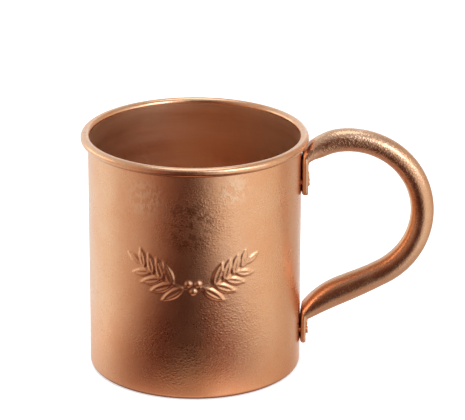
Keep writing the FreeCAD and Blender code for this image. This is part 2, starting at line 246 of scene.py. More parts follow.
def wall_heights(low, high):
    """Heights of the rows up a wall, closer together across the emblem."""
    bottom, top = EMBLEM_HEIGHT - EMBLEM_HALF_HEIGHT, EMBLEM_HEIGHT + EMBLEM_HALF_HEIGHT
    parts = [(low, bottom, COARSE_ROW), (bottom, top, FINE_STEP), (top, high, COARSE_ROW)]
    rows = [np.linspace(a, b, round((b - a) / step), endpoint=False) for a, b, step in parts]
    return np.concatenate(rows + [[high]])


def cup_profile():
    """Half section, from the middle of the underside round the wall and bead to the middle of the inside.

    Comes with each point's zone.
    """
    corner = (BODY_RADIUS - BASE_CORNER, BASE_CORNER)
    base_rows = np.array(BASE_ROWS)
    dish = BASE_DISH * (1 - smooth_step(*DISH_FALLS, base_rows))
    outer_wall = wall_heights(BASE_CORNER, BEAD_CENTRE[1])[1:]
    inner_wall = wall_heights(BASE_CORNER, BEAD_CENTRE[1])[::-1][1:]
    stretches = [
        np.stack([base_rows, dish], -1),
        arc_points(corner, BASE_CORNER, -math.pi / 2, 0, steps=9),
        np.stack([np.full_like(outer_wall, BODY_RADIUS), outer_wall], -1),
        arc_points(BEAD_CENTRE, BEAD_RADIUS - WALL, math.pi, CURL_END, steps=12)[1:],
        arc_points(BEAD_CENTRE, BEAD_RADIUS - CUT_CORNER, CURL_END, CURL_END, steps=0),
        arc_points(BEAD_CENTRE, BEAD_RADIUS, CURL_END + CUT_CORNER_TURN, math.pi, steps=34),
        np.stack([np.full_like(inner_wall, BODY_RADIUS - WALL), inner_wall], -1),
        arc_points(corner, BASE_CORNER - WALL, 0, -math.pi / 2, steps=6)[1:],
        np.stack([base_rows, dish + WALL], -1)[::-1],
    ]
    zones = np.repeat([OUTSIDE] * 3 + [RIM] * 3 + [INSIDE] * 3, [len(stretch) for stretch in stretches])
    return np.concatenate(stretches), zones


def make_cup(outside, inside, rim):
    """The cup: one closed sheet, embossed on the front, so the garland shows hollow on the inside."""
    (profile, zones), angles = cup_profile(), column_angles()
    radius, angle = np.meshgrid(profile[:, 0], angles, indexing="ij")
    height = np.repeat(profile[:, 1:], len(angles), axis=1)
    around = (angle + math.pi) % (2 * math.pi) - math.pi
    on_wall = radius > BODY_RADIUS - WALL - HAIR
    on_wall = on_wall & (height > RELIEF_MARGIN) & (height < CUP_TOP - RELIEF_MARGIN)
    relief = emblem_relief(around * BODY_RADIUS, height - EMBLEM_HEIGHT) * on_wall
    waves = sum(depth * np.sin(count * angle + height / twist + shift)
                for depth, count, twist, shift in WAVES)
    waves = waves * smooth_step(*WAVES_START_RADII, radius) * smooth_step(*WAVES_START_HEIGHTS, height)
    reach = radius + relief + waves
    grid = np.stack([reach * np.sin(angle), -reach * np.cos(angle), height], -1)
    rows, columns = radius.shape
    vertices = np.concatenate([grid.reshape(-1, 3), [[0, 0, BASE_DISH], [0, 0, BASE_DISH + WALL]]])
    faces = grid_faces(rows, columns)
    under, over = rows * columns, rows * columns + 1
    faces += fan(under, list(range(columns)), flip=True)
    faces += fan(over, list(range((rows - 1) * columns, rows * columns)))
    slots = np.concatenate([np.repeat(zones[1:], columns), [OUTSIDE] * columns, [INSIDE] * columns])
    cup = make_piece("cup", vertices, faces, [outside, inside, rim], slots)
    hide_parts("mug_body")


# ---------------------------------------------------------------- the handle

# Points of the handle's middle plane are (X, Z). Its sections run from the upper tab round to the lower one.
GRIP_CENTRE = np.array([57.5, 60.8])
PATH_RADIUS = 28.1
TUBE_RADIUS = 4.43
STRUT_HALF_DEPTH = 5.25
STRUT_SLOPE = 25.6
STRUT_BOW = 0.65
TAB_CORNER = 2.2
TAB_NOSE = 0.6
UPPER_TAB = {"front": 42.55, "bottom": 68.35, "corner_height": 80.4, "corner_radius": 0.9, "peel": 0.93}
LOWER_TAB = {"front": 42.2, "bottom": handle_low.z / MM, "corner_height": 17.2, "corner_radius": 0.8,
             "peel": 0.91}
SHOULDER_END = 97.0
SWELL_START = 15.0
LOWER_SHOULDER_SHARE = 0.5
OUTER_OUTLINE_POWER = 1.6
LEAST_FLAT = 0.05
PRESSED_HALF_DEPTH = 1.0
EDGE_POINTS = 20
FLAT_POINTS = 12
# How many sections each stretch is divided into
SECTIONS = {"tab_end": 9, "tab": 12, "upper_bend": 16, "shoulder": 26, "grip": 80, "strut": 50,
            "lower_bend": 14}
# A tab's back bulges in its middle and is cut back at its edges, fully once it is pressed this flat
BACK_BULGE = 0.42
BACK_EDGE = 0.22
BULGED_HALF_DEPTH = 1.3
BACK_BLEND = 0.8
SEAM_HALF_GAP = 0.09
SEAM_DEPTH = 0.8
SEAM_MARGIN = 0.7
# The seam runs in towards the section this many from the end
SEAM_TOWARDS = 12


def ease(share):
    """Rises from 0 to 1 with level ends, and stays at 1 past a share of 1."""
    return float(smooth_step(0.0, 1.0, share))


def polar(centre, distance, degrees):
    """The point at a distance and an angle from a centre."""
    turn = math.radians(degrees)
    return np.array([centre[0] + distance * math.cos(turn), centre[1] + distance * math.sin(turn)])


def round_off(depth, radius):
    """How far a rounded end is drawn in, at a depth from its tip."""
    left = max(radius - depth, 0.0)
    return radius - math.sqrt(radius * radius - left * left)


def half_width(half_depth, tube):
    """The tube is wider where it is pressed flatter."""
    pressed = (tube - half_depth) / (tube - PRESSED_HALF_DEPTH)
    return tube + LEAST_FLAT + (TAB_HALF_WIDTH - tube - LEAST_FLAT) * min(pressed, 1.0)


def tab_sections(tab):
    """(front point, back point, half width) up a flat tab, from its rounded end to the bend."""
    end = TAB_CORNER * (1 - np.cos(np.linspace(0, math.pi / 2, SECTIONS["tab_end"])))
    straight = np.linspace(TAB_CORNER, tab["corner_height"] - tab["bottom"], SECTIONS["tab"])[1:-1]
    for depth in np.concatenate([end, straight]):
        thinner, narrower = round_off(depth, TAB_NOSE), round_off(depth, TAB_CORNER)
        height = tab["bottom"] + depth
        yield (np.array([tab["front"] - thinner, height]), np.array([TAB_WALL_SIDE + thinner, height]),
               TAB_HALF_WIDTH - narrower)


def bend_reach(tab, turned):
    """How far a bend's back is from its pivot, which leaves the wall as the bend turns."""
    reach = tab["corner_radius"] + tab["front"] - TAB_WALL_SIDE
    return reach / math.cos(math.radians(tab["peel"] * turned))


def bend_sections(tab, total, tube, steps):
    """(front point, back point, half width), fanned about the pivot in front of a tab's corner."""
    pivot = (tab["front"] + tab["corner_radius"], tab["corner_height"])
    for share in np.linspace(0, 1, steps, endpoint=False):
        reach = bend_reach(tab, share * total)
        angle = 180 - share * total
        yield (polar(pivot, tab["corner_radius"], angle), polar(pivot, reach, angle),
               half_width((reach - tab["corner_radius"]) / 2, tube))


def shoulder_sections():
    """Where the upper tab's bend swells into the round tube of the grip."""
    pivot = np.array([UPPER_TAB["front"] + UPPER_TAB["corner_radius"], UPPER_TAB["corner_height"]])
    away = pivot - GRIP_CENTRE
    bend_end = math.degrees(math.atan2(away[1], away[0]))
    far = float(np.hypot(*away))
    yield from bend_sections(UPPER_TAB, 180 - bend_end, TUBE_RADIUS, SECTIONS["upper_bend"])
    inner_start = far + UPPER_TAB["corner_radius"]
    outer_start = far + bend_reach(UPPER_TAB, 180 - bend_end)
    for share in np.linspace(0, 1, SECTIONS["shoulder"], endpoint=False):
        angle = bend_end + share * (SHOULDER_END - bend_end)
        inner = inner_start + (PATH_RADIUS - TUBE_RADIUS - inner_start) * ease(2 * share)
        risen = 1 - (1 - share) ** OUTER_OUTLINE_POWER
        outer = outer_start + (PATH_RADIUS + TUBE_RADIUS - outer_start) * risen
        yield (polar(GRIP_CENTRE, inner, angle), polar(GRIP_CENTRE, outer, angle),
               half_width((outer - inner) / 2, TUBE_RADIUS))


def grip_sections(strut_start):
    """The round part of the loop, which has half swollen to the strut's depth by its end."""
    for angle in np.linspace(SHOULDER_END, strut_start, SECTIONS["grip"], endpoint=False):
        share = ease((SWELL_START - angle) / (SWELL_START - strut_start))
        swollen = TUBE_RADIUS + (STRUT_HALF_DEPTH - TUBE_RADIUS) / 2 * share
        yield (polar(GRIP_CENTRE, PATH_RADIUS - swollen, angle),
               polar(GRIP_CENTRE, PATH_RADIUS + swollen, angle), swollen + LEAST_FLAT)


def strut_sections(strut_start):
    """(lower point, upper point, half width) down the gently bowed strut and round the lower tab's bend."""
    corner = np.array([LOWER_TAB["front"] + LOWER_TAB["corner_radius"], LOWER_TAB["corner_height"]])
    turn = 90 - STRUT_SLOPE
    across = polar((0, 0), 1, 180 - turn)
    strut_end = polar(corner, LOWER_TAB["corner_radius"], 180 - turn)
    end_depth = bend_reach(LOWER_TAB, turn) - LOWER_TAB["corner_radius"]
    begin_half = (TUBE_RADIUS + STRUT_HALF_DEPTH) / 2
    begin_edge = polar(GRIP_CENTRE, PATH_RADIUS, strut_start) - across * begin_half
    for share in np.linspace(0, 1, SECTIONS["strut"]):
        edge = begin_edge + (strut_end - begin_edge) * share - across * STRUT_BOW * 4 * share * (1 - share)
        swelling = begin_half + (STRUT_HALF_DEPTH - begin_half) * ease(2 * share)
        left = min((1 - share) / (1 - LOWER_SHOULDER_SHARE), 1.0)
        depth = end_depth + (2 * swelling - end_depth) * (1 - (1 - left) ** 2)
        yield edge, edge + across * depth, half_width(depth / 2, swelling)
    yield from reversed(list(bend_sections(LOWER_TAB, turn, STRUT_HALF_DEPTH, SECTIONS["lower_bend"])))


def handle_sections():
    """(first point, second point, half width, which side faces the wall) of every section in turn."""
    strut_start = STRUT_SLOPE - 90
    upper = list(tab_sections(UPPER_TAB)) + list(shoulder_sections()) + list(grip_sections(strut_start))
    lower = list(strut_sections(strut_start)) + list(reversed(list(tab_sections(LOWER_TAB))))
    return [(*section, 1) for section in upper] + [(back, front, width, -1) for front, back, width in lower]


def slot_outline(half_depth, half_breadth):
    """(sideways, deep) points of a slot: two half circles joined by flats, or nearly a circle."""
    flat = max(half_breadth - half_depth, 0.0)
    turns = np.linspace(-math.pi / 2, math.pi / 2, EDGE_POINTS, endpoint=False)
    edge = np.stack([flat + half_depth * np.cos(turns), half_depth * np.sin(turns)], -1)
    run = np.linspace(flat, -flat, FLAT_POINTS, endpoint=False)
    top = np.stack([run, np.full_like(run, half_depth)], -1)
    half = np.concatenate([edge, top])
    return np.concatenate([half, -half])


def slot_ring(inner, outer, half_breadth, wall_side):
    """Points round one section; where the tube is pressed its back bulges towards the wall."""
    centre = (inner + outer) / 2
    across = outer - inner
    half_depth = float(np.hypot(*across)) / 2
    across = across / (2 * half_depth)
    outline = slot_outline(half_depth, half_breadth)
    pressed = np.clip((half_breadth - half_depth) / (TAB_HALF_WIDTH - BULGED_HALF_DEPTH), 0, 1)
    facing = smooth_step(0.0, BACK_BLEND, outline[:, 1] * wall_side / half_depth)
    crown = BACK_BULGE * (1 - (outline[:, 0] / half_breadth) ** 2) - BACK_EDGE
    deep = outline[:, 1] + wall_side * facing * crown * pressed
    return [(centre[0] + across[0] * d, s, centre[1] + across[1] * d) for s, d in zip(outline[:, 0], deep)]


def seam_rings(section, towards):
    """The hairline gap between the tube's two pressed layers, in the end of a tab."""
    inner, outer, breadth, wall_side = section
    centre = (inner + outer) / 2
    inwards = (towards[0] + towards[1]) / 2 - centre
    inwards = inwards / np.hypot(*inwards)
    thin = (outer - inner) / np.hypot(*(outer - inner)) * SEAM_HALF_GAP
    for depth in (0.0, SEAM_DEPTH):
        middle = centre + inwards * depth
        yield slot_ring(middle - thin, middle + thin, breadth - SEAM_MARGIN, wall_side)


def make_handle(material):
    """The handle's skin: one tube, pressed flat at both ends."""
    sections = handle_sections()
    upper_seam = list(seam_rings(sections[0], sections[SEAM_TOWARDS]))
    lower_seam = list(seam_rings(sections[-1], sections[-SEAM_TOWARDS]))
    rings = upper_seam[::-1] + [slot_ring(*section) for section in sections] + lower_seam
    columns = len(rings[0])
    vertices = [point for ring in rings for point in ring]
    faces = grid_faces(len(rings), columns, flip=True)
    last = (len(rings) - 1) * columns
    faces.append(tuple(range(columns)))
    faces.append(tuple(range(last + columns - 1, last - 1, -1)))
    handle = make_piece("handle_tube", vertices, faces, [material])
    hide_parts("handle")


# ---------------------------------------------------------------- the rivets

RIVET_COLUMNS = 40
HEAD_RADIUS = 1.45
# The head's rounded edge: its radius, how far it sits below the crown, and where its arc starts in radians
HEAD_EDGE = 0.4
HEAD_EDGE_DROP = 0.04
HEAD_EDGE_START = 0.15
CROWN_FALL = 0.06
CROWN_START = 0.12
# The head's foot, as (above the tab, beyond the head's radius)
HEAD_FOOT = ((0.12, 0.02), (0.02, 0.0), (0.0, -0.05))
SHANK_RADIUS = 1.0
TAIL_HEIGHT = 0.7
TAIL_RADIUS = 1.5
TAIL_EDGE = 0.05
TAIL_CROWN_START = 0.08
TAIL_SEAT = 38.8
# Set by hand, a rivet is a little oval and three-sided, and the part of its head above a height is tilted
OVAL = 0.012
THREE_SIDED = 0.008
TILT = 0.03
TILTED_ABOVE = 0.2
# No two rivets are alike: each is turned by its tab's lowest height, taken as radians, and the second of a
# pair by this much more
NEXT_TURN = 2.9


def rivet_profile(grip, head_height):
    """(along X from the tab's face, radius) from the head's crown to the tail's; and both crowns' places."""
    crown = np.linspace(CROWN_START, HEAD_RADIUS - HEAD_EDGE, num=5)
    edge_centre = (head_height - HEAD_EDGE - HEAD_EDGE_DROP, HEAD_RADIUS - HEAD_EDGE)
    dome = (TAIL_RADIUS ** 2 + TAIL_HEIGHT ** 2) / (2 * TAIL_HEIGHT)
    angles = np.linspace(math.asin(TAIL_RADIUS / dome), TAIL_CROWN_START, num=8)
    stretches = [
        np.stack([head_height - CROWN_FALL * (crown / HEAD_RADIUS) ** 2, crown], -1),
        arc_points(edge_centre, HEAD_EDGE, HEAD_EDGE_START, math.pi / 2, steps=7),
        [(above, HEAD_RADIUS + beyond) for above, beyond in HEAD_FOOT],
        [(0.0, SHANK_RADIUS), (-grip, SHANK_RADIUS), (-grip, TAIL_RADIUS - TAIL_EDGE)],
        np.stack([-grip - TAIL_HEIGHT + dome * (1 - np.cos(angles)), dome * np.sin(angles)], -1),
    ]
    return np.concatenate(stretches), head_height, -grip - TAIL_HEIGHT


def make_rivet(node, front, turn, material):
    """One rivet along X, its head a little out of round from being set by hand."""
    low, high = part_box(node)
    middle = (low + high) / 2 / MM
    profile, crown, foot = rivet_profile(front - TAIL_SEAT, high.x / MM - front)
    around = np.linspace(0, 2 * math.pi, RIVET_COLUMNS, endpoint=False)
    along, angle = np.meshgrid(profile[:, 0], around, indexing="ij")
    radius = np.repeat(profile[:, 1:], RIVET_COLUMNS, axis=1)
    radius = radius * (1 + OVAL * np.sin(2 * angle + turn) + THREE_SIDED * np.sin(3 * angle - 2 * turn))
    along = along + TILT * np.sin(angle + turn) * (along > TILTED_ABOVE) * radius / HEAD_RADIUS
    grid = np.stack([front + along, middle.y + radius * np.cos(angle), middle.z + radius * np.sin(angle)], -1)
    ends = [[front + crown, middle.y, middle.z], [front + foot, middle.y, middle.z]]
    vertices = np.concatenate([grid.reshape(-1, 3), ends])
    crown_vertex = len(profile) * RIVET_COLUMNS
    last_ring = list(range(crown_vertex - RIVET_COLUMNS, crown_vertex))
    faces = grid_faces(len(profile), RIVET_COLUMNS, flip=True)
    faces += fan(crown_vertex, list(range(RIVET_COLUMNS)))
    faces += fan(crown_vertex + 1, last_ring, flip=True)
    rivet = make_piece(node + "_set", vertices, faces, [material])
    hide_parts(node)


# ---------------------------------------------------------------- nodes

# Sockets of a mix node for each kind of data: (first, second, result)
MIX_SOCKETS = {"VECTOR": (4, 5, 1), "RGBA": (6, 7, 2)}
# The share of a round patch's radius within which it is full
PATCH_CORE = 0.35


def feed(tree, socket, value):
    """Links a socket to an output, or sets it to a value."""
    if isinstance(value, bpy.types.NodeSocket):
        tree.links.new(value, socket)
    else:
        socket.default_value = value


def add_node(tree, kind, *sources, **settings):
    """A new node with its settings made and its first sockets fed."""
    node = tree.nodes.new(kind)
    for name, value in settings.items():
        setattr(node, name, value)
    for socket, value in zip(node.inputs, sources):
        feed(tree, socket, value)
    return node


def mix(tree, kind, share, first, second):
    """A blend of two colours or vectors, each a value or an output."""
    to_first, to_second, result = MIX_SOCKETS[kind]
    node = add_node(tree, "ShaderNodeMix", share, data_type=kind)
    feed(tree, node.inputs[to_first], first)
    feed(tree, node.inputs[to_second], second)
    return node.outputs[result]


def soft_range(tree, source, low, high, to_low=0.0, to_high=1.0):
    """A number carried over from one range to another, with level ends."""
    return add_node(tree, "ShaderNodeMapRange", source, low, high, to_low, to_high,
                    interpolation_type="SMOOTHSTEP").outputs["Result"]


class Shader:
    """A material's node tree, with short ways to add nodes and link them."""

    def __init__(self, name):
        self.material = bpy.data.materials.new(name)
        self.material.use_nodes = True
        self.tree = self.material.node_tree
        self.principled = self.tree.nodes["Principled BSDF"]
        self.place = self.add("ShaderNodeTexCoord").outputs["Object"]

    def add(self, kind, *sources, **settings):
        return add_node(self.tree, kind, *sources, **settings)

    def height(self):
        """Height above the base, in metres."""
        return self.add("ShaderNodeSeparateXYZ", self.place).outputs["Z"]

    def facing_up(self):
        """How far the surface faces up: 1 where it faces straight up, -1 straight down."""
        normal = self.add("ShaderNodeTexCoord").outputs["Normal"]
        return self.add("ShaderNodeSeparateXYZ", normal).outputs["Z"]

    def stretched(self, scale):
        """The place, with each axis scaled; a small scale draws the pattern out along that axis."""
        node = self.add("ShaderNodeMapping", self.place)
        node.inputs["Scale"].default_value = scale
        return node.outputs["Vector"]

    def noise(self, size, detail=3.0, roughness=0.5, place=None):
        """Noise whose lumps are about size millimetres across."""
        node = self.add("ShaderNodeTexNoise", place or self.place)
        node.inputs["Scale"].default_value = 1 / (size * MM)
        node.inputs["Detail"].default_value = detail
        node.inputs["Roughness"].default_value = roughness
        return node.outputs["Fac"]

    def cells(self, size, smoothness=0.35):
        """Rounded cells about size millimetres across."""
        node = self.add("ShaderNodeTexVoronoi", self.place, feature="SMOOTH_F1")
        node.inputs["Scale"].default_value = 1 / (size * MM)
        node.inputs["Smoothness"].default_value = smoothness
        return node.outputs["Distance"]

    def patches(self, spots):
        """1 in the middle of round patches given as (middle, radius) in millimetres, 0 outside them."""
        total = None
        for middle, radius in spots:
            away = self.add("ShaderNodeVectorMath", self.place, Vector(middle) * MM, operation="DISTANCE")
            near = self.remap(away.outputs["Value"], PATCH_CORE * radius * MM, radius * MM, 1.0, 0.0)
            total = near if total is None else self.math("MAXIMUM", total, near)
        return total

    def remap(self, source, low, high, to_low=0.0, to_high=1.0):
        return soft_range(self.tree, source, low, high, to_low, to_high)

    def math(self, operation, first, second):
        return self.add("ShaderNodeMath", first, second, operation=operation).outputs["Value"]

    def blend(self, share, first, second):
        """A mix of two colours, each a tuple or an output."""
        first, second = ((*colour, 1) if isinstance(colour, tuple) else colour for colour in (first, second))
        return mix(self.tree, "RGBA", share, first, second)

    def bump(self, height, depth, under=None):
        """A bump whose full height is depth millimetres."""
        node = self.add("ShaderNodeBump")
        node.inputs["Distance"].default_value = depth * MM
        feed(self.tree, node.inputs["Height"], height)
        if under is not None:
            feed(self.tree, node.inputs["Normal"], under)
        return node.outputs["Normal"]

    def finish(self, colour, roughness, normal):
        self.principled.inputs["Metallic"].default_value = 1.0
        for socket, value in (("Base Color", colour), ("Roughness", roughness), ("Normal", normal)):
            feed(self.tree, self.principled.inputs[socket], value)
        return self.material


# ---------------------------------------------------------------- materials

COPPER = (0.92, 0.53, 0.32)
COPPER_WARM = (0.90, 0.47, 0.26)
COPPER_PALE = (0.95, 0.62, 0.43)
COPPER_BRIGHT = (0.97, 0.68, 0.47)
COPPER_DEEP = (0.62, 0.27, 0.13)
COPPER_DARK = (0.30, 0.12, 0.06)
RIM_GOLD = (0.86, 0.50, 0.31)
BROWNED = (0.80, 0.49, 0.315)
BROWNED_WARM = (0.78, 0.43, 0.25)

# Where mist has dried into pebbles; where dark specks are painted as the shade of droplets; where the copper
# is darker in smudges and paler in patches; all as (middle, radius) in mm
PEBBLED = [((14, -37, 24), 27), ((-8, -39, 16), 22), ((3, -40, 71), 20), ((28, -28, 72), 17),
           ((27, -29, 47), 15)]
SPECKED = [((3, -40, 70), 16), ((-34, -20, 30), 24)]
SMUDGED = [((-1, -40, 69), 13)]
PALE_PATCHES = [((15, -37, 82), 8), ((-17, -36, 78), 10)]
# The height of the crease where the rim's curl comes down on the wall, and how far below and above it shade
# is painted into the copper
CREASE_LIFT = 0.15
CREASE = CUP_TOP - 2 * BEAD_RADIUS + CREASE_LIFT
SHADE_BELOW_CREASE = 0.7
SHADE_ABOVE_CREASE = 0.9


def cup_outside():
    """Frosted copper: a fine grain, patches of pebbles, dark specks of painted shade, darker smudges, paler
    patches, faint wiping marks, and painted shade towards the crease under the rim.
    """
    s = Shader("frosted_copper")
    grain = s.noise(0.5, 2, 0.6)
    clouds = s.remap(s.noise(13, 4, 0.6), 0.3, 0.7)
    pebbled = s.math("MULTIPLY", s.patches(PEBBLED), s.remap(s.noise(9, 2), 0.25, 0.5, 0.35, 1.0))
    pebbled = s.math("MAXIMUM", pebbled, 0.16)
    specked = s.math("MULTIPLY", s.patches(SPECKED), s.remap(s.noise(9, 3), 0.42, 0.6))
    pebbles = s.remap(s.noise(0.85, 1, 0.5, s.stretched((1, 1, 1.2))), 0.35, 0.75)
    pebbles = s.math("MULTIPLY", pebbles, pebbled)
    # Painted shade: small dark specks in the specked patches, where droplets would darken the copper
    speck_shade = s.math("MULTIPLY", s.remap(s.cells(1.1, 0.0), 0.10, 0.22, 1.0, 0.0), specked)
    smudged = s.math("MULTIPLY", s.patches(SMUDGED), s.remap(s.noise(2.6, 4, 0.65), 0.48, 0.60))
    # Paler patches on the copper, with a slight bump
    paler = s.math("MULTIPLY", s.patches(PALE_PATCHES), s.remap(s.noise(2.0, 3), 0.40, 0.55))
    wiped = s.noise(2.2, 3, 0.55, s.stretched((0.35, 0.35, 1.3)))
    normal = s.bump(s.noise(4.5, 2), 0.05)
    normal = s.bump(wiped, 0.02, normal)
    normal = s.bump(pebbles, 0.036, normal)
    normal = s.bump(paler, 0.03, normal)
    normal = s.bump(grain, 0.05, normal)
    colour = s.blend(clouds, COPPER, COPPER_WARM)
    colour = s.blend(s.remap(grain, 0.30, 0.55, 0.24, 0.0), colour, COPPER_DEEP)
    colour = s.blend(s.remap(grain, 0.55, 0.75, 0.0, 0.40), colour, COPPER_PALE)
    colour = s.blend(s.math("MULTIPLY", paler, 0.6), colour, COPPER_BRIGHT)
    colour = s.blend(s.math("MULTIPLY", speck_shade, 0.85), colour, COPPER_DARK)
    colour = s.blend(s.math("MULTIPLY", smudged, 0.62), colour, COPPER_DARK)
    # Painted shade: the wall darkens just below the crease under the rim's curl
    crease_shade = s.remap(s.height(), (CREASE - SHADE_BELOW_CREASE) * MM, CREASE * MM, 0.0, 0.8)
    colour = s.blend(crease_shade, colour, COPPER_DARK)
    roughness = s.math("ADD", s.remap(s.noise(6, 5, 0.65), 0.3, 0.7, 0.265, 0.305),
                       s.remap(pebbles, 0.2, 0.9, 0.0, -0.06))
    return s.finish(colour, roughness, normal)


def rim_copper():
    """The rim's bead, burnished by use, with painted shade in the crease under it."""
    s = Shader("burnished_rim")
    rubbed = s.noise(0.7, 3, 0.6, s.stretched((0.25, 0.25, 1.0)))
    normal = s.bump(s.noise(3.5, 2), 0.06)
    normal = s.bump(rubbed, 0.016, normal)
    colour = s.blend(s.remap(s.noise(6, 4, 0.6), 0.35, 0.65), RIM_GOLD, COPPER_WARM)
    colour = s.blend(s.remap(rubbed, 0.35, 0.5, 0.25, 0.0), colour, COPPER_DEEP)
    # Painted shade: the bead darkens down into the crease below it
    crease_shade = s.remap(s.height(), CREASE * MM, (CREASE + SHADE_ABOVE_CREASE) * MM, 0.85, 0.0)
    colour = s.blend(crease_shade, colour, COPPER_DARK)
    roughness = s.remap(s.noise(2.5, 3), 0.3, 0.7, 0.19, 0.27)
    return s.finish(colour, roughness, normal)


def cup_inside():
    """Bright copper with the fine rings left by spinning."""
    s = Shader("spun_copper")
    rings = s.noise(0.5, 3, 0.6, s.stretched((0.02, 0.02, 1.0)))
    broad = s.noise(3.0, 2, 0.5, s.stretched((0.05, 0.05, 1.0)))
    grain = s.noise(0.45, 2, 0.6)
    normal = s.bump(broad, 0.07)
    normal = s.bump(rings, 0.020, normal)
    colour = s.blend(s.remap(s.noise(18, 2, 0.5), 0.3, 0.7), COPPER_BRIGHT, COPPER_PALE)
    colour = s.blend(s.remap(rings, 0.45, 0.8, 0.0, 0.3), colour, COPPER_WARM)
    colour = s.blend(s.remap(grain, 0.3, 0.5, 0.08, 0.0), colour, COPPER_DEEP)
    roughness = s.remap(broad, 0.3, 0.7, 0.30, 0.38)
    return s.finish(colour, roughness, normal)


# Where the handle is pebbled most: along the top of its arch
HANDLE_PEBBLED = [((62, -3, 90), 22), ((47, -4, 86), 10), ((82, -4, 80), 14)]
# The pressed and riveted ends are duller
PRESSED = [((42, 0, 75), 17), ((42, 0, 12), 15)]
# The top of the strut has painted shade up to the first height, and less and less up to the second
STRUT_SHADE_HEIGHTS = (48, 62)


def handle_copper():
    """Satin copper with a speckled grain, slightly darker hollows and painted shade on the top of the strut.
    """
    s = Shader("satin_copper")
    grain = s.noise(0.5, 3, 0.65)
    pebbled = s.remap(s.patches(HANDLE_PEBBLED), 0.0, 1.0, 0.35, 1.0)
    pebbles = s.math("MULTIPLY", s.remap(s.noise(0.75, 1, 0.5), 0.40, 0.70), pebbled)
    clouds = s.remap(s.noise(7, 4, 0.6), 0.3, 0.7)
    normal = s.bump(s.noise(3.2, 2), 0.06)
    normal = s.bump(pebbles, 0.045, normal)
    normal = s.bump(grain, 0.05, normal)
    colour = s.blend(clouds, BROWNED, BROWNED_WARM)
    colour = s.blend(s.remap(grain, 0.30, 0.52, 0.25, 0.0), colour, COPPER_DEEP)
    colour = s.blend(s.remap(pebbles, 0.5, 0.9, 0.0, 0.45), colour, COPPER_PALE)
    # Painted shade: the upward-facing top of the strut is darkened towards deep copper
    strut_top_shade = s.math("MULTIPLY", s.remap(s.facing_up(), 0.1, 0.7),
                       s.remap(s.height(), *(height * MM for height in STRUT_SHADE_HEIGHTS), 1.0, 0.0))
    colour = s.blend(s.math("MULTIPLY", strut_top_shade, 0.5), colour, COPPER_DEEP)
    roughness = s.math("ADD", s.remap(s.noise(4, 5, 0.65), 0.3, 0.7, 0.21, 0.29),
                       s.remap(s.patches(PRESSED), 0.0, 1.0, 0.0, 0.16))
    return s.finish(colour, roughness, normal)


def rivet_copper():
    """Rivet copper: a little redder, marked by the setting tool."""
    s = Shader("rivet_copper")
    marks = s.noise(0.5, 3, 0.6)
    dents = s.remap(s.cells(0.7), 0.1, 0.7)
    normal = s.bump(dents, 0.05)
    normal = s.bump(marks, 0.03, normal)
    colour = s.blend(s.remap(marks, 0.35, 0.7), COPPER_WARM, COPPER)
    roughness = s.remap(s.noise(1.2, 3), 0.3, 0.7, 0.24, 0.36)
    return s.finish(colour, roughness, normal)


# ---------------------------------------------------------------- studio

# Fitted to the mug's outline: the place in metres, the turns in degrees, the lens and sensor in millimetres
CAMERA_PLACE = (0.0187, -1.0704, 0.4582)
CAMERA_HEADING = 0.243
CAMERA_DOWN = 20.373
CAMERA_ROLL = 0.186
CAMERA_LENS = 234.65
SENSOR = 36.0
CLIP_NEAR, CLIP_FAR = 0.05, 30.0


def make_camera():
    camera = bpy.data.objects.new("camera", bpy.data.cameras.new("camera"))
    camera.data.lens = CAMERA_LENS
    camera.data.sensor_width = SENSOR
    camera.data.clip_start, camera.data.clip_end = CLIP_NEAR, CLIP_FAR
    camera.matrix_world = (Matrix.Translation(CAMERA_PLACE)
                           @ Matrix.Rotation(math.radians(CAMERA_HEADING), 4, "Z")
                           @ Matrix.Rotation(math.radians(90 - CAMERA_DOWN), 4, "X")
                           @ Matrix.Rotation(math.radians(CAMERA_ROLL), 4, "Z"))
    bpy.context.scene.collection.objects.link(camera)
    bpy.context.scene.camera = camera


def direction(azimuth, elevation):
    """A unit vector: azimuth 0 is the front (-Y) and 90 the handle's side (+X)."""
    a, e = math.radians(azimuth), math.radians(elevation)
    return Vector((math.sin(a) * math.cos(e), -math.cos(a) * math.cos(e), math.sin(e)))


# The studio's round wall of soft light, as (azimuth, colour) in order; between two entries it blends.
SIDE_LIGHT = [
    (-180, (0.86, 0.98, 1.06)),
    (-135, (0.95, 1.03, 1.05)),
    (-105, (0.91, 0.98, 0.98)),
    (-85, (0.71, 0.62, 0.54)),
    (-60, (0.56, 0.42, 0.35)),
    (-35, (0.29, 0.15, 0.11)),
    (-14, (0.08, 0.03, 0.02)),
    (6, (0.12, 0.06, 0.04)),
    (20, (0.60, 0.54, 0.50)),
    (34, (0.97, 1.00, 1.00)),
    (60, (0.92, 0.90, 0.84)),
    (85, (0.84, 0.80, 0.72)),
    (120, (0.60, 0.50, 0.40)),
    (150, (0.66, 0.62, 0.60)),
    (166, (1.05, 1.20, 1.32)),
    (180, (0.86, 0.98, 1.06)),
]
CEILING = (0.46, 0.49, 0.52)
CEILING_FROM, CEILING_FULL = 25, 75
# Well below the horizon the copper sees the table, much the same all round
TABLE_LIGHT = (0.56, 0.47, 0.42)
TABLE_FROM, TABLE_FULL = -28, -60
# (name, azimuth, elevation, degrees from its middle where it is full, degrees where it ends, colour)
SOFT_BOXES = [
    ("strip_high", 22, 45, 3, 14, (1.0, 1.12, 1.25)),
    ("strip_middle", 45, 30, 5, 18, (3.1, 3.6, 4.4)),
    ("strip_low", 65, 14, 3, 15, (1.0, 1.12, 1.25)),
    ("left_box_far", -121, 6, 4, 13, (1.0, 1.0, 1.0)),
    ("left_box_near", -99, 14, 4, 13, (0.9, 0.9, 0.9)),
    ("top_box", 180, 82, 10, 24, (1.5, 1.6, 1.65)),
]


